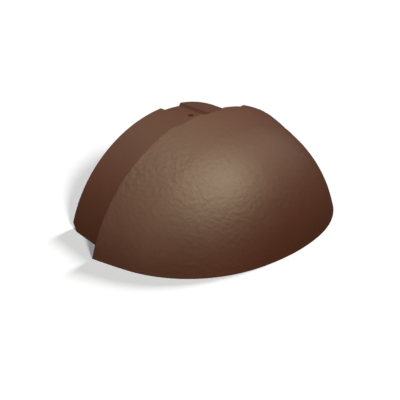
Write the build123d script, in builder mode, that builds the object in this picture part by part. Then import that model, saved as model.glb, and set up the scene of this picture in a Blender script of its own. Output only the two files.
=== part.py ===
from build123d import *
import os
from math import cos, radians, sin, sqrt

# Concrete ridge end tile: a domed shell with a lower lap behind it, moulded in one piece.
# Millimetres. The ridge runs along X and the domed nose points to +X. The rim lies on z = 0,
# and the origin is on it, at the middle of the tile's length and width.

# Dome: a profile of three tangent arcs, turned about the ridge's axis, which lies below the rim
arch_radius = 130.0
axis_drop = 35.0
nose_reach = 103.0
nose_radius = 182.0
corner_radius = 104.0
shoulder_radius = 480.0
shoulder_slope = 16.2
wall = 13.0

# Lap: the lower arch behind the dome, which the next ridge tile covers
lap_radius = 116.5
lap_axis_drop = 31.0
lap_length = 51.5
lap_wall = 12.0
foot_cut_length = 8.0
foot_cut_height = 5.5

# Joggle: the underside opens out from the lap's arch to the dome's wall
joggle_start = 2.0
joggle_length = 16.0

# Groove along the crest of the lap, with the nail hole through its floor. All that is moulded
# at the crest lies a little to the right of the ridge line.
crest_shift = 1.6
groove_width = 22.6
groove_flank = 1.9
groove_depth = 2.85
nail_hole_diameter = 5.0
nail_hole_from_edge = 24.0

# Notches in the dome's back edge: a wide one, and a narrow one in the middle of its floor
wide_notch_width = 80.0
wide_notch_flank = 6.5
wide_notch_depth = 3.0
crest_notch_width = 25.6
crest_notch_flank = 4.8
crest_notch_depth = 2.3

# Places that follow from the sizes above
nose_on_rim = nose_reach - nose_radius + sqrt(nose_radius**2 - axis_drop**2)
back_edge = (lap_length - nose_on_rim) / 2
lap_end = back_edge - lap_length
notch_floor = back_edge + wide_notch_depth
lap_crest = lap_radius - lap_axis_drop
lap_bore_radius = lap_radius - lap_wall
overrun = 5.0

ridge_line = Axis((0, 0, -axis_drop), (1, 0, 0))
section_plane = Plane(origin=(back_edge, 0, -axis_drop), x_dir=(1, 0, 0), z_dir=(0, 1, 0))


def dome_section(inset, start):
    """Half section of the dome from start to the nose, inset from its outer face."""
    slope = radians(shoulder_slope)
    shoulder_center = (-shoulder_radius * sin(slope), arch_radius - shoulder_radius * cos(slope))
    with BuildSketch(section_plane) as section:
        with Locations((nose_reach - nose_radius, 0)):
            Circle(nose_radius - inset)
        with Locations(shoulder_center):
            Circle(shoulder_radius - inset, mode=Mode.INTERSECT)
        corner = section.vertices().filter_by(lambda v: v.X > 0 and v.Y > axis_drop)
        fillet(corner, corner_radius - inset)
        with Locations((start, 0)):
            Rectangle(nose_reach, 2 * arch_radius, align=(Align.MIN, Align.MIN), mode=Mode.INTERSECT)
    return section.sketch


def back_notch(edge, width, flank, depth):
    """Plan of a notch that opens backwards from an edge."""
    right_brim = -width / 2 - crest_shift
    left_brim = width / 2 - crest_shift
    with BuildSketch(Plane.XY) as notch:
        with BuildLine():
            Polyline(
                (edge - overrun, right_brim),
                (edge, right_brim),
                (edge + depth, right_brim + flank),
                (edge + depth, left_brim - flank),
                (edge, left_brim),
                (edge - overrun, left_brim),
                close=True,
            )
        make_face()
    return notch.sketch


def lap_section():
    """Section of the lap: an arch with a shallow groove whose floor follows it."""
    floor_radius = lap_radius - groove_depth
    right_brim = -groove_width / 2 - crest_shift
    left_brim = groove_width / 2 - crest_shift
    right_floor = right_brim + groove_flank
    left_floor = left_brim - groove_flank
    with BuildSketch(Plane.YZ.offset(lap_end)) as section:
        with Locations((0, -lap_axis_drop)):
            Circle(lap_radius)
        with BuildLine():
            Polyline(
                (right_brim, lap_crest + overrun),
                (right_brim, sqrt(lap_radius**2 - right_brim**2) - lap_axis_drop),
                (right_floor, sqrt(floor_radius**2 - right_floor**2) - lap_axis_drop),
                (left_floor, sqrt(floor_radius**2 - left_floor**2) - lap_axis_drop),
                (left_brim, sqrt(lap_radius**2 - left_brim**2) - lap_axis_drop),
                (left_brim, lap_crest + overrun),
                close=True,
            )
        make_face(mode=Mode.SUBTRACT)
        with Locations((0, -lap_axis_drop)):
            Circle(floor_radius)
    return section.sketch


with BuildPart() as ridge_end_tile:
    # Outer form: the turned dome with its notches, and the lap running on into it
    revolve(dome_section(0, 0), axis=ridge_line)
    wide_notch = back_notch(back_edge, wide_notch_width, wide_notch_flank, wide_notch_depth)
    crest_notch = back_notch(notch_floor, crest_notch_width, crest_notch_flank, crest_notch_depth)
    for notch in (wide_notch, crest_notch):
        extrude(notch, amount=arch_radius, mode=Mode.SUBTRACT)
    extrude(lap_section(), amount=lap_length + wide_notch_depth + crest_notch_depth + joggle_start)

    # Nail hole
    with Locations((back_edge - nail_hole_from_edge, -crest_shift, lap_crest)):
        Hole(nail_hole_diameter / 2, depth=2 * lap_wall)

    # Hollow: the lap's bore, the joggle and the inside of the dome
    hollow = dome_section(wall, joggle_start + joggle_length)
    joggle_mouth = hollow.vertices().group_by(Axis.X)[0].sort_by(Axis.Z)[0]
    with BuildSketch(Plane.YZ.offset(lap_end)):
        with Locations((0, -lap_axis_drop)):
            Circle(lap_bore_radius)
    extrude(amount=lap_length + joggle_start, mode=Mode.SUBTRACT)
    with BuildSketch(Plane.YZ.offset(back_edge + joggle_start)):
        with Locations((0, -lap_axis_drop)):
            Circle(lap_bore_radius)
    with BuildSketch(Plane.YZ.offset(joggle_mouth.X)):
        with Locations((0, -axis_drop)):
            Circle(-axis_drop - joggle_mouth.Z)
    loft(mode=Mode.SUBTRACT)
    revolve(hollow, axis=ridge_line, mode=Mode.SUBTRACT)

    # Rim plane
    split(bisect_by=Plane.XY, keep=Keep.TOP)

    # Feet of the lap, cut back at its end
    with BuildSketch(Plane.XZ):
        with BuildLine():
            Polyline(
                (lap_end, 0),
                (lap_end + foot_cut_length, 0),
                (lap_end, foot_cut_height),
                close=True,
            )
        make_face()
    extrude(amount=arch_radius, both=True, mode=Mode.SUBTRACT)

ridge_end_tile.part.label = "ridge_end_tile"

os.makedirs("parts", exist_ok=True)
export_step(ridge_end_tile.part, "parts/ridge_end_tile.step")
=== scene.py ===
from math import acos, asin, atan2, cos, hypot, pi, radians, sin, sqrt, tan

import bmesh
import bpy
from mathutils import Matrix, Vector, noise


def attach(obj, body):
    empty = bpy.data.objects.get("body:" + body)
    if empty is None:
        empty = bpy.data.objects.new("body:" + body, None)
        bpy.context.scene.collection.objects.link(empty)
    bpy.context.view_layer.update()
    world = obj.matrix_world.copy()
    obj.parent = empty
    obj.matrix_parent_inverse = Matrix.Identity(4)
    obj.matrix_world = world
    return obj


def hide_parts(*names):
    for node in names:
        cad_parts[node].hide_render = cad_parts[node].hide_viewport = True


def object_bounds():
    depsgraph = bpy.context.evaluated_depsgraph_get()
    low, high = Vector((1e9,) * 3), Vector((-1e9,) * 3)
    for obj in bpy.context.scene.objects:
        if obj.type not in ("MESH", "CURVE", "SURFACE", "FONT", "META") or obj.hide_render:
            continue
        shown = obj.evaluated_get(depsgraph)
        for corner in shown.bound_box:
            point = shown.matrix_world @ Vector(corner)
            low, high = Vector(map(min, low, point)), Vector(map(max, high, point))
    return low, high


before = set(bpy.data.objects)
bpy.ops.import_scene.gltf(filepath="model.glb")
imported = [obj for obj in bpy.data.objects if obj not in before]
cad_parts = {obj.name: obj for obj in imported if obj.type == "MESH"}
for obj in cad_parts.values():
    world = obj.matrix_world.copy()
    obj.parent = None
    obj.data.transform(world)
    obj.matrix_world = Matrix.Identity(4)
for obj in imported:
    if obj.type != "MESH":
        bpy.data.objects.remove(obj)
cad_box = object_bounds()

# The tile's sizes in millimetres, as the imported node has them
ARCH_RADIUS = 130.0
AXIS_DROP = 35.0
NOSE_REACH = 103.0
NOSE_RADIUS = 182.0
CORNER_RADIUS = 104.0
SHOULDER_RADIUS = 480.0
SHOULDER_SLOPE = radians(16.2)
WALL = 13.0
LAP_RADIUS = 116.5
LAP_AXIS_DROP = 31.0
LAP_LENGTH = 51.5
LAP_WALL = 12.0
FOOT_CUT = (8.0, 5.5)
JOGGLE = (2.0, 18.0)
CREST_SHIFT = -1.6
GROOVE = {"width": 22.6, "flank": 1.9, "depth": 2.85}
WIDE_NOTCH = {"start": 0.0, "width": 80.0, "flank": 6.5, "depth": 3.0}
CREST_NOTCH = {"start": 3.0, "width": 25.6, "flank": 4.8, "depth": 2.3}
NAIL_HOLE_RADIUS = 2.5
NAIL_HOLE = Vector((-24.0, CREST_SHIFT))

# What follows from them. The skins are made about the ridge's axis, with the dome's back edge at x = 0.
LAP_BORE = LAP_RADIUS - LAP_WALL
LAP_LIFT = AXIS_DROP - LAP_AXIS_DROP
SHOULDER = Vector((
    -SHOULDER_RADIUS * sin(SHOULDER_SLOPE),
    ARCH_RADIUS - SHOULDER_RADIUS * cos(SHOULDER_SLOPE),
))
MM = 0.001
BACK_EDGE = cad_box[0].x / MM + LAP_LENGTH

# The lowest strip of the dome's back edge, which is bridged to the lap
BRIDGED_STRIP = 2.0
BACK_SEAT = LAP_RADIUS + LAP_LIFT + BRIDGED_STRIP

# How far forward the notches still move the skin
NOTCH_END = 16.0

# How far the profiles run below the rim, where they are cut off later
SUNK = 6.0

# How finely the skin is divided
SPAN = radians(152)
COLUMNS = 276
ROW = 1.25
INSIDE_ROW = 2.4
JOGGLE_CUTS = 6

# How closely a vertex lies on a plane that it is on, how far faces lie apart, and how finely planes cut
HAIR = 0.01
MARGIN = 1.0
CUT_TOLERANCE = 1e-4

# How far the arrises are rounded, the share of it that the rim gets, and how sharp an arris is
ARRIS = 0.4
RIM_ARRIS = 0.4
RIM_SHARE = 0.8
SHARP = radians(40)

# How far normals turn inwards where the weather face ends, as a cosine
FACE_END = (-0.6, -0.2)

# Relief of the moulded surface, pressed inwards, on the weather face and on the underside
SMOOTH_SINK = 0.08
SMOOTH_SWELL = 0.06
SWELL_SIZE = 16.0
ROUGH_SINK = 0.3
ROUGH_SWELL = 0.22
ROUGH_SIZE = 9.0
RIM_FADE = 3.0

# Creases of the weather face, and where their strength rises across the ridge line and above the rim
CREASE_DEPTH = 0.215
CREASE_SIZE = 3.4
CREASE_SHARPNESS = 2.6
DRIFT = 4.0
DRIFT_SIZE = 11.0
PATCH_SIZE = 30.0
RIM_STRENGTH = 0.45
LAP_STRENGTH = 0.35
SIDE_ACROSS, SIDE_HEIGHT = (20, 50), (25, 45)
FLANK_ACROSS, FLANK_HEIGHT = (42, 64), (45, 57)

# The floor's half width and the lamps' distance, in metres
FLOOR_REACH = 2.0
LAMP_DISTANCE = 200.0

# Shares of the light: from all around, and from each floor lamp on the level floor
AMBIENT = 0.045
FLOOR_LIGHT = 0.75


def tangent_angles():
    """Centres of the nose and corner arcs, and the angles at which the corner's arc begins and ends."""
    nose = Vector((NOSE_REACH - NOSE_RADIUS, 0.0))
    to_shoulder = SHOULDER_RADIUS - CORNER_RADIUS
    to_nose = NOSE_RADIUS - CORNER_RADIUS
    between = nose - SHOULDER
    along = (to_shoulder**2 - to_nose**2 + between.length**2) / (2 * between.length)
    across = sqrt(to_shoulder**2 - along**2)
    unit = between.normalized()
    corner = SHOULDER + unit * along + Vector((unit.y, -unit.x)) * across
    nose_end = atan2(*(corner - nose).yx)
    shoulder_start = atan2(*(corner - SHOULDER).yx)
    return nose, corner, nose_end, shoulder_start


def last_vert(made):
    """The last vertex that a spin made."""
    return next(v for v in made["geom_last"] if isinstance(v, bmesh.types.BMVert))


def arc(bm, vert, center, turn, row):
    """Draws an arc from a vertex about a centre in the X, Z plane, and returns its last vertex."""
    radius = (Vector((vert.co.x, vert.co.z)) - center).length
    steps = max(1, round(abs(turn) * radius / row))
    made = bmesh.ops.spin(
        bm, geom=[vert], cent=(center.x, 0, center.y), axis=(0, -1, 0), angle=turn, steps=steps,
        use_merge=False, use_duplicate=False,
    )
    return last_vert(made)


def run(bm, vert, x, z, row):
    """Draws a straight run from a vertex, divided into rows, and returns its last vertex."""
    way = Vector((x, 0, z)) - vert.co
    steps = max(1, round(way.length / row))
    made = bmesh.ops.spin(
        bm, geom=[vert], cent=vert.co, axis=(0, -1, 0), angle=0, dvec=way / steps, steps=steps,
        use_merge=False, use_duplicate=False,
    )
    return last_vert(made)


def turn_profile(bm, lift):
    """Turns a profile in the X, Z plane about the ridge's axis, or one raised from it by lift."""
    center = Vector((0, 0, lift))
    bmesh.ops.rotate(bm, verts=bm.verts[:], cent=center, matrix=Matrix.Rotation(-SPAN / 2, 3, "X"))
    bmesh.ops.spin(
        bm, geom=bm.verts[:] + bm.edges[:], cent=center, axis=(1, 0, 0), angle=SPAN, steps=COLUMNS,
        use_merge=False, use_duplicate=False,
    )


def dome_profile(bm, inset, end, row):
    """Draws the dome's profile, inset from its weather face, from below the rim up to an angle on the
    shoulder's arc, and returns its last vertex."""
    nose, corner, nose_end, shoulder_start = tangent_angles()
    radius = NOSE_RADIUS - inset
    low = asin((AXIS_DROP - SUNK) / radius)
    vert = bm.verts.new((nose.x + radius * cos(low), 0, radius * sin(low)))
    vert = arc(bm, vert, nose, nose_end - low, row)
    vert = arc(bm, vert, corner, shoulder_start - nose_end, row)
    return arc(bm, vert, SHOULDER, end - shoulder_start, row)


def dome_skin():
    """Weather face of the dome and the upper part of its back edge."""
    bm = bmesh.new()
    vert = dome_profile(bm, 0, pi / 2 - SHOULDER_SLOPE, ROW)
    run(bm, vert, 0, BACK_SEAT, ROW)
    turn_profile(bm, 0)
    return bm


def lap_skin():
    """Top, end and bore of the lap, on the lap's own axis."""
    bm = bmesh.new()
    vert = bm.verts.new((0, 0, LAP_RADIUS + LAP_LIFT))
    vert = run(bm, vert, -LAP_LENGTH, LAP_RADIUS + LAP_LIFT, ROW)
    vert = run(bm, vert, -LAP_LENGTH, LAP_BORE + LAP_LIFT, INSIDE_ROW)
    run(bm, vert, JOGGLE[0], LAP_BORE + LAP_LIFT, INSIDE_ROW)
    turn_profile(bm, LAP_LIFT)
    return bm


def hollow_skin():
    """Underside of the dome, a wall's thickness inside its weather face."""
    mouth = acos((JOGGLE[1] - SHOULDER.x) / (SHOULDER_RADIUS - WALL))
    bm = bmesh.new()
    dome_profile(bm, WALL, mouth, INSIDE_ROW)
    turn_profile(bm, 0)
    return bm


def kinks(feature):
    """Where a groove's or notch's brims and the ends of its floor lie across the ridge line."""
    half, floor = feature["width"] / 2, feature["width"] / 2 - feature["flank"]
    return [CREST_SHIFT + y for y in (-half, -floor, floor, half)]


def snap_columns(verts, radius, lift, features):
    """Moves the nearest columns of the grid onto the kinks of grooves and notches."""
    step = SPAN / COLUMNS
    same_column = step / 50
    center = Vector((0, 0, lift))
    for kink in (k for feature in features for k in kinks(feature)):
        target = asin(kink / radius)
        column = round(target / step) * step
        turn = Matrix.Rotation(column - target, 3, "X")
        for v in verts:
            if abs(atan2(v.co.y, v.co.z - lift) - column) < same_column:
                v.co = turn @ (v.co - center) + center


def groove_drop(y):
    """How far the groove's bottom lies below the lap's arch at a distance y from the ridge line."""
    right, floor_right, floor_left, left = kinks(GROOVE)
    if not right < y < left:
        return 0.0
    floor_radius = LAP_RADIUS - GROOVE["depth"]
    edge = min(max(y, floor_right), floor_left)
    height = sqrt(floor_radius**2 - edge**2)
    if edge == y:
        return sqrt(LAP_RADIUS**2 - y**2) - height
    brim = right if y < floor_right else left
    brim_height = sqrt(LAP_RADIUS**2 - brim**2)
    return sqrt(LAP_RADIUS**2 - y**2) - height - (brim_height - height) * (y - edge) / (brim - edge)


def above_bore(v):
    """Whether a vertex of the lap lies above its bore."""
    return hypot(v.co.y, v.co.z - LAP_LIFT) > LAP_BORE + MARGIN


def press_groove(bm):
    """Presses the groove into the crest of the lap."""
    verts = [v for v in bm.verts if above_bore(v)]
    snap_columns(verts, LAP_RADIUS, LAP_LIFT, [GROOVE])
    for v in verts:
        radius = hypot(v.co.y, v.co.z - LAP_LIFT)
        share = (radius - LAP_BORE) / LAP_WALL
        v.co.z -= share * groove_drop(v.co.y)


def notch_depth(y):
    """How far the dome's back edge stands forward at a distance y from the ridge line."""
    depth = 0.0
    for notch in (WIDE_NOTCH, CREST_NOTCH):
        inside = (notch["width"] / 2 - abs(y - CREST_SHIFT)) / notch["flank"]
        if inside > 0:
            depth = notch["start"] + min(inside, 1.0) * notch["depth"]
    return depth


def press_notches(bm):
    """Moves the dome's back edge forward in the notches."""
    verts = [v for v in bm.verts if v.co.x < NOTCH_END]
    snap_columns(verts, ARCH_RADIUS, 0, [WIDE_NOTCH, CREST_NOTCH])
    for v in verts:
        depth = notch_depth(v.co.y)
        if not depth:
            continue
        radius = hypot(v.co.y, v.co.z)
        on_face = v.co.x < HAIR
        v.co.x = depth + v.co.x * (1 - depth / NOTCH_END)
        outer = SHOULDER.y + sqrt(SHOULDER_RADIUS**2 - (v.co.x - SHOULDER.x) ** 2)
        if on_face:
            outer = BACK_SEAT + (radius - BACK_SEAT) * (outer - BACK_SEAT) / (ARCH_RADIUS - BACK_SEAT)
        v.co.y *= outer / radius
        v.co.z *= outer / radius


def run_lap_on(bm):
    """Runs the top of the lap on into the notches."""
    for v in bm.verts:
        if above_bore(v):
            v.co.x += notch_depth(v.co.y) * (1 + v.co.x / LAP_LENGTH)


def open_edges(bm, inside):
    """The open edges across the ridge line whose middles pass a test."""
    found = []
    last_column = SPAN / 2 - 0.001
    for e in bm.edges:
        middle = (e.verts[0].co + e.verts[1].co) / 2
        if e.is_boundary and abs(atan2(middle.y, middle.z)) < last_column and inside(middle):
            found.append(e)
    return found


def bridge(bm, test):
    """Bridges two open rows, and returns the new faces."""
    return bmesh.ops.bridge_loops(bm, edges=open_edges(bm, test))["faces"]


def edges_along(bm, faces):
    """The edges of new faces that run along the ridge."""
    edges = dict.fromkeys(e for f in faces for e in f.edges)
    return [e for e in edges if abs(e.verts[0].co.x - e.verts[1].co.x) > MARGIN]


def join_skins(parts):
    """Joins the skins in one mesh."""
    joined = bmesh.new()
    for part in parts:
        mesh = bpy.data.meshes.new("skin")
        part.to_mesh(mesh)
        part.free()
        joined.from_mesh(mesh)
        bpy.data.meshes.remove(mesh)
    return joined


def cut(bm, point, normal, clear=False):
    """Cuts the skin at a plane, and with clear takes away what lies behind it."""
    return bmesh.ops.bisect_plane(
        bm, geom=bm.verts[:] + bm.edges[:] + bm.faces[:], dist=CUT_TOLERANCE,
        plane_co=point, plane_no=normal, clear_inner=clear,
    )


def cut_at_rim(bm):
    """Cuts the skin at the rim plane, rounds its arris and closes it."""
    for height in (RIM_ARRIS, RIM_ARRIS / 4):
        cut(bm, (0, 0, AXIS_DROP + height), (0, 0, 1))
    cut(bm, (0, 0, AXIS_DROP), (0, 0, 1), clear=True)
    bm.normal_update()
    moves = []
    for v in bm.verts:
        height = v.co.z - AXIS_DROP
        if height < RIM_ARRIS - HAIR:
            side = Vector((v.normal.x, v.normal.y, 0))
            inset = RIM_ARRIS - sqrt(RIM_ARRIS**2 - (RIM_ARRIS - height) ** 2)
            if side.length > 0.1:
                moves.append((v, side.normalized() * inset * RIM_SHARE))
    for v, move in moves:
        v.co -= move
    rim = [e for e in bm.edges if e.is_boundary]
    bmesh.ops.triangle_fill(bm, edges=rim, use_beauty=True, use_dissolve=False)


def cut_feet(bm):
    """Cuts the lap's feet back at its end."""
    length, height = FOOT_CUT
    made = cut(bm, (-LAP_LENGTH, 0, AXIS_DROP + height), (height, 0, length), clear=True)
    edges = [e for e in made["geom_cut"] if isinstance(e, bmesh.types.BMEdge)]
    bmesh.ops.holes_fill(bm, edges=edges, sides=0)


def bore_nail_hole(bm):
    """Opens the nail hole through the lap and lines it."""
    reach = NAIL_HOLE_RADIUS * 1.02
    patch = []
    for f in bm.faces:
        middle = f.calc_center_median()
        if middle.z > LAP_BORE and max(abs(middle.x - NAIL_HOLE.x), abs(middle.y - NAIL_HOLE.y)) < reach:
            patch.append(f)
    bmesh.ops.delete(bm, geom=patch, context="FACES")
    near = [e for e in bm.edges if e.is_boundary and (e.verts[0].co.xy - NAIL_HOLE).length < 3 * reach]
    near = [e for e in near if e.verts[0].co.z > LAP_BORE]
    for v in {v for e in near for v in e.verts}:
        v.co.xy = (v.co.xy - NAIL_HOLE).normalized() * NAIL_HOLE_RADIUS + NAIL_HOLE
    bmesh.ops.bridge_loops(bm, edges=near)


def round_arrises(bm):
    """Rounds the arch-shaped arrises at the dome's back edge and the lap's end."""
    bm.normal_update()
    edges = []
    for e in bm.edges:
        if len(e.link_faces) != 2 or e.calc_face_angle(0) < SHARP:
            continue
        middle = (e.verts[0].co + e.verts[1].co) / 2
        across = abs(e.verts[0].co.y - e.verts[1].co.y) > 0.1
        on_dome = hypot(middle.y, middle.z) > (BACK_SEAT + ARCH_RADIUS) / 2
        at_back = on_dome and -2 * HAIR < middle.x < NOTCH_END / 2
        at_end = abs(middle.x + LAP_LENGTH) < 2 * HAIR
        if across and (at_back or at_end):
            edges.append(e)
    bmesh.ops.bevel(
        bm, geom=edges, offset=ARRIS, offset_type="OFFSET", segments=3, profile=0.5,
        affect="EDGES", clamp_overlap=True, material=-1,
    )


def ramp(value, start, end):
    """Rises from 0 at start to 1 at end."""
    return min(max((value - start) / (end - start), 0.0), 1.0)


def crease_strength(place):
    """How strongly a place is creased: most on the dome's flanks, least on the lap."""
    height, across = place.z - AXIS_DROP, abs(place.y)
    side = ramp(height, *SIDE_HEIGHT) * (0.3 + 0.7 * ramp(across, *SIDE_ACROSS))
    flank = ramp(across, *FLANK_ACROSS) * ramp(height, *FLANK_HEIGHT)
    on_lap = place.x < -0.5
    strength = LAP_STRENGTH if on_lap else RIM_STRENGTH + 0.5 * side + flank
    return strength * (0.65 + 0.35 * noise.noise(place / PATCH_SIZE))


def crease(place):
    """Depth of the creases at a place, from 0 to 1, along the bent zero lines of a noise."""
    # The drift is made of three noises, because noise_vector gives other values in each run
    shifts = (Vector((0, 0, lift)) for lift in (0, 20.0, 40.0))
    drift = DRIFT * Vector([noise.noise(place / DRIFT_SIZE + shift) for shift in shifts])
    wrinkle = noise.noise((place + drift) / CREASE_SIZE + Vector((7.0, 0, 0)))
    return max(1.0 - CREASE_SHARPNESS * abs(wrinkle), 0.0)


def press_relief(bm):
    """Presses the uneven surface of moulded concrete into the skin, inward only, and notes where the
    weather face and its creases lie."""
    bm.normal_update()
    mask = bm.verts.layers.float.new("weather_face")
    creased = bm.verts.layers.float.new("creased")
    moves = []
    for v in bm.verts:
        outward = Vector((max(v.co.x, 0), v.co.y, v.co.z)).normalized()
        weather = ramp(v.normal.dot(outward), *FACE_END)
        strength = crease_strength(v.co)
        v[mask] = weather
        v[creased] = strength * weather
        swell = noise.noise(v.co / SWELL_SIZE)
        rough = noise.fractal(v.co / ROUGH_SIZE + Vector((0, 5.0, 0)), 0.8, 2.0, 2)
        smooth_side = SMOOTH_SINK + SMOOTH_SWELL * swell + CREASE_DEPTH * strength * crease(v.co)
        rough_side = ROUGH_SINK + ROUGH_SWELL * max(min(rough, 1.0), -1.0)
        depth = weather * smooth_side + (1 - weather) * rough_side
        moves.append((v, v.normal * depth * min((v.co.z - AXIS_DROP) / RIM_FADE, 1.0)))
    for v, move in moves:
        v.co -= move


def tile_skin():
    """The whole tile as one closed mesh, in millimetres from the ridge's axis."""
    dome, lap, hollow = dome_skin(), lap_skin(), hollow_skin()
    press_groove(lap)
    press_notches(dome)
    run_lap_on(lap)
    bm = join_skins([dome, lap, hollow])
    bridge(bm, lambda p: -HAIR < p.x < NOTCH_END / 2 and hypot(p.y, p.z) > LAP_BORE + LAP_WALL / 2)
    joggle = bridge(bm, lambda p: JOGGLE[0] - MARGIN < p.x < JOGGLE[1] + MARGIN)
    bmesh.ops.subdivide_edges(bm, edges=edges_along(bm, joggle), cuts=JOGGLE_CUTS, use_grid_fill=True)
    bmesh.ops.recalc_face_normals(bm, faces=bm.faces[:])
    round_arrises(bm)
    cut_at_rim(bm)
    cut_feet(bm)
    bore_nail_hole(bm)
    bmesh.ops.recalc_face_normals(bm, faces=bm.faces[:])
    press_relief(bm)
    return bm


skin = tile_skin()
bmesh.ops.translate(skin, verts=skin.verts[:], vec=(BACK_EDGE, 0, -AXIS_DROP))
bmesh.ops.scale(skin, verts=skin.verts[:], vec=(MM, MM, MM))
mesh = bpy.data.meshes.new("moulded_tile")
skin.to_mesh(mesh)
skin.free()
mesh.shade_smooth()
mesh.set_sharp_from_angle(angle=radians(35))
tile = bpy.data.objects.new("moulded_tile", mesh)
bpy.context.scene.collection.objects.link(tile)
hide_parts("ridge_end_tile")
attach(tile, "root")


class Socket:
    """A shader socket on which Python's operators add Math nodes."""

    def __init__(self, tree, socket):
        self.tree = tree
        self.socket = socket

    def math(self, operation, *others):
        """Adds a Math node to this socket and the other values or sockets."""
        node = self.tree.nodes.new("ShaderNodeMath")
        node.operation = operation
        for slot, value in zip(node.inputs, (self, *others)):
            if isinstance(value, Socket):
                self.tree.links.new(value.socket, slot)
            else:
                slot.default_value = value
        return Socket(self.tree, node.outputs[0])

    def __add__(self, other):
        return self.math("ADD", other)

    __radd__ = __add__

    def __mul__(self, other):
        return self.math("MULTIPLY", other)

    __rmul__ = __mul__

    def __rsub__(self, other):
        return self * -1 + other


class Shader:
    """The node tree of a material or a world, with one method that adds any node."""

    def __init__(self, owner):
        owner.use_nodes = True
        self.tree = owner.node_tree
        self.tree.nodes.clear()

    def node(self, kind, settings=None, inputs=None, output=0):
        """Adds a node, sets its settings first and then its sockets, and returns one output."""
        node = self.tree.nodes.new("ShaderNode" + kind)
        for name, value in (settings or {}).items():
            if name == "stops":
                elements = node.color_ramp.elements
                for element, (place, colour) in zip(elements, value):
                    element.position = place
                    element.color = colour
            else:
                setattr(node, name, value)
        for name, value in (inputs or {}).items():
            if isinstance(value, Socket):
                self.tree.links.new(value.socket, node.inputs[name])
            else:
                node.inputs[name].default_value = value
        return Socket(self.tree, node.outputs[output]) if node.outputs else None


def grey(value):
    """A grey as an opaque colour."""
    return (value, value, value, 1.0)


def concrete():
    """Brown concrete with a satin colour coat on its weather face and bare, sandy concrete beneath."""
    material = bpy.data.materials.new("brown_concrete")
    s = Shader(material)
    place = s.node("TexCoord", output="Object")
    coated = s.node("Attribute", {"attribute_name": "weather_face"}, {}, "Fac")
    creased = s.node("Attribute", {"attribute_name": "creased"}, {}, "Fac")
    mottle = s.node(
        "TexNoise", {}, {"Vector": place, "Scale": 38.0, "Detail": 4.0, "Roughness": 0.6}, "Fac"
    )
    coat_stops = [(0.3, (0.11, 0.0251, 0.0094, 1)), (0.7, (0.128, 0.0289, 0.0108, 1))]
    coat = s.node("ValToRGB", {"stops": coat_stops}, {"Fac": mottle}, "Color")
    sand = s.node(
        "TexNoise", {}, {"Vector": place, "Scale": 700.0, "Detail": 3.0, "Roughness": 0.7}, "Fac"
    )
    bare_stops = [(0.25, (0.098, 0.052, 0.032, 1)), (0.75, (0.215, 0.128, 0.085, 1))]
    bare = s.node("ValToRGB", {"stops": bare_stops}, {"Fac": 0.6 * sand + 0.4 * mottle}, "Color")
    base = s.node("Mix", {"data_type": "RGBA"}, {0: coated, 6: bare, 7: coat}, 2)
    wrinkle = s.node(
        "TexNoise",
        {},
        {"Vector": place, "Scale": 420.0, "Detail": 2.0, "Roughness": 0.5, "Distortion": 0.8},
        "Fac",
    )
    height = creased * 0.33 * wrinkle + (1 - coated) * sand
    bump = s.node("Bump", {}, {"Height": height, "Strength": 1.0, "Distance": 0.0006}, "Normal")
    finish = s.node(
        "BsdfPrincipled",
        {},
        {
            "Base Color": base,
            "Roughness": 0.9 - 0.38 * coated,
            "IOR": 1.6,
            "Specular IOR Level": 1.0,
            "Specular Tint": (1.0, 0.935, 0.66, 1),
            "Normal": bump,
        },
        "BSDF",
    )
    s.node("OutputMaterial", {}, {"Surface": finish})
    return material


def floor_finish():
    """Pale floor that shows white around the tile's shadow and gives the tile next to no light."""
    material = bpy.data.materials.new("pale_floor")
    s = Shader(material)
    white = s.node("Emission", {}, {"Color": grey(1.0), "Strength": 0.485}, "Emission")
    paint = s.node("BsdfDiffuse", {}, {"Color": grey(1.0)}, "BSDF")
    dim = s.node("BsdfDiffuse", {}, {"Color": grey(0.005)}, "BSDF")
    shown = s.node("MixShader", {}, {0: 0.5, 1: white, 2: paint}, "Shader")
    seen = s.node("LightPath", {}, {}, "Is Camera Ray")
    surface = s.node("MixShader", {}, {0: seen, 1: dim, 2: shown}, "Shader")
    s.node("OutputMaterial", {}, {"Surface": surface})
    return material


def studio():
    """World that gives a faint light from all around and shows white behind the floor."""
    world = bpy.data.worlds.new("studio")
    s = Shader(world)
    soft = s.node("Background", {}, {"Color": grey(1.0), "Strength": AMBIENT}, "Background")
    bright = s.node("Background", {}, {"Color": grey(1.0)}, "Background")
    seen = s.node("LightPath", {}, {}, "Is Camera Ray")
    surface = s.node("MixShader", {}, {0: seen, 1: soft, 2: bright}, "Shader")
    s.node("OutputWorld", {}, {"Surface": surface})
    return world


mesh.materials.append(concrete())

bm = bmesh.new()
bmesh.ops.create_grid(bm, x_segments=1, y_segments=1, size=FLOOR_REACH)
ground = bpy.data.meshes.new("floor")
bm.to_mesh(ground)
bm.free()
ground.materials.append(floor_finish())
floor = bpy.data.objects.new("floor", ground)
bpy.context.scene.collection.objects.link(floor)

bpy.context.scene.world = studio()


def direction(azimuth, elevation):
    """Unit vector towards a lamp, with azimuth from +X towards +Y."""
    a, e = radians(azimuth), radians(elevation)
    return Vector((cos(e) * cos(a), cos(e) * sin(a), sin(e)))


def receivers(name, objects):
    """A collection of the objects that a lamp lights."""
    collection = bpy.data.collections.new(name)
    for item in objects:
        collection.objects.link(item)
    return collection


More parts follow.
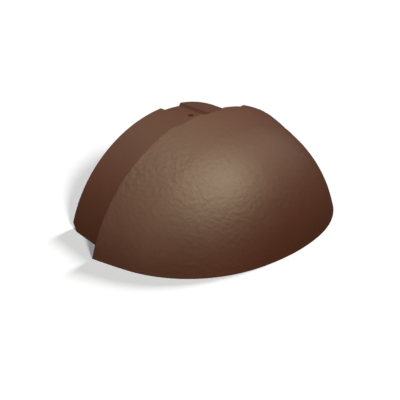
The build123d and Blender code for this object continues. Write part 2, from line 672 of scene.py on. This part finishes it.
def lamp(name, azimuth, elevation, width, light, lit):
    """A round area lamp, as wide as it looks in degrees, which gives a share of the light that
    renders a colour as written."""
    half = radians(width / 2)
    data = bpy.data.lights.new(name, "AREA")
    data.shape = "DISK"
    data.size = 2 * LAMP_DISTANCE * tan(half)
    # Its radiance times its solid angle is pi times the share
    data.energy = light * pi**2 * LAMP_DISTANCE**2 * (1 + cos(half)) / (2 * cos(half) ** 2)
    lamp_object = bpy.data.objects.new(name, data)
    bpy.context.scene.collection.objects.link(lamp_object)
    towards = direction(azimuth, elevation)
    lamp_object.location = towards * LAMP_DISTANCE
    lamp_object.rotation_mode = "QUATERNION"
    lamp_object.rotation_quaternion = towards.to_track_quat("Z", "Y")
    lamp_object.light_linking.receiver_collection = lit
    return lamp_object


on_tile = receivers("lit_tile", [tile])
on_floor = receivers("lit_floor", [floor])
lamp("overhead", 0, 89, 100, 0.39, on_tile)
lamp("softbox", -60, 75, 30, 0.174, on_tile)
lamp("key", 15, 60, 24, 0.32, on_tile)
lamp("front", -30, 52, 30, 0.11, on_tile)
lamp("right_fill", 90, 28, 30, 0.063, on_tile)
lamp("left_fill", -90, 28, 30, 0.067, on_tile)
lamp("back_fill", 168, 4, 20, 0.22, on_tile)

# The light that a pale floor gives back into the hollow comes from below and passes the floor
bounce = lamp("floor_bounce", 0, -90, 28, 0.2, on_tile)
bounce.light_linking.blocker_collection = on_tile

# Two lamps light only the floor, and each throws the tile's shadow to one side
for name, azimuth, elevation, width in (("floor_behind", 95.4, 44.7, 9), ("floor_front", -10.5, 33, 8)):
    lamp(name, azimuth, elevation, width, FLOOR_LIGHT / sin(radians(elevation)), on_floor)

# The camera stands in front and to the right of the nose and looks at a point near the tile's middle
camera_data = bpy.data.cameras.new("camera")
camera_data.sensor_width = 36.0
camera_data.lens = 53.13
camera = bpy.data.objects.new("camera", camera_data)
bpy.context.scene.collection.objects.link(camera)
turn, tilt, distance = radians(48.246), radians(27.189), 0.5337
back = Vector((sin(turn) * cos(tilt), -cos(turn) * cos(tilt), sin(tilt)))
aim = Vector((-0.0328, -0.0045, 0.0069))
camera.location = aim + back * distance
camera.rotation_mode = "QUATERNION"
camera.rotation_quaternion = (-back).to_track_quat("-Z", "Y")
bpy.context.scene.camera = camera
bpy.context.scene.view_settings.view_transform = "Standard"
